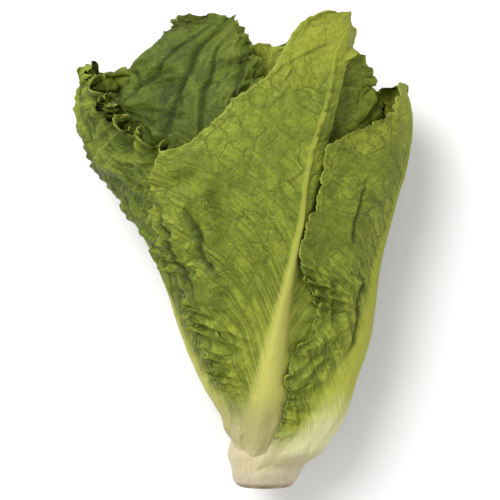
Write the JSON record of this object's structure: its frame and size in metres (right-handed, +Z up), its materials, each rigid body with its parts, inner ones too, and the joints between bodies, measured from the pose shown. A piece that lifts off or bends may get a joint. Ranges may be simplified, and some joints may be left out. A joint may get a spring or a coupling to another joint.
{
  "type": "romaine lettuce head",
  "caption": "Head of romaine lettuce lying on its side: long ruffled green leaves with pale thick ribs, wrapped round a heart and joined at a cut stem.",
  "frame": {"origin": "centre of the bounding box, on the table that the head lies on", "axes": "+Y along the head from the cut face of the stem to the leaf tips, +Z up from the table, +X to the head's right as seen from above with the tips away"},
  "size_m": [0.2104, 0.3, 0.1047],
  "materials": {
    "stem_flesh": "moist cut stem, cream with a brown rim",
    "outer_leaf": "waxy leaf, yellow-green, with a cream rib at the foot",
    "middle_leaf": "waxy leaf, paler green",
    "heart_leaf": "tender leaf, pale yellow-green"
  },
  "bodies": {
    "root": {"stem": "stem_flesh", "outer_leaf_right": "outer_leaf", "outer_leaf_front": "outer_leaf", "outer_leaf_left": "outer_leaf", "outer_leaf_back": "outer_leaf", "upper_leaf_right": "outer_leaf", "lower_leaf_left": "outer_leaf", "upper_leaf_left": "outer_leaf", "lower_leaf_right": "outer_leaf", "middle_leaf_1": "middle_leaf", "middle_leaf_2": "middle_leaf", "middle_leaf_3": "middle_leaf", "middle_leaf_4": "middle_leaf", "inner_leaf_1": "middle_leaf", "inner_leaf_2": "middle_leaf", "inner_leaf_3": "middle_leaf", "inner_leaf_4": "middle_leaf", "heart_leaf_1": "heart_leaf", "heart_leaf_2": "heart_leaf", "heart_leaf_3": "heart_leaf", "heart_leaf_4": "heart_leaf", "heart_bud_1": "heart_leaf", "heart_bud_2": "heart_leaf"}
  },
  "joints": []
}
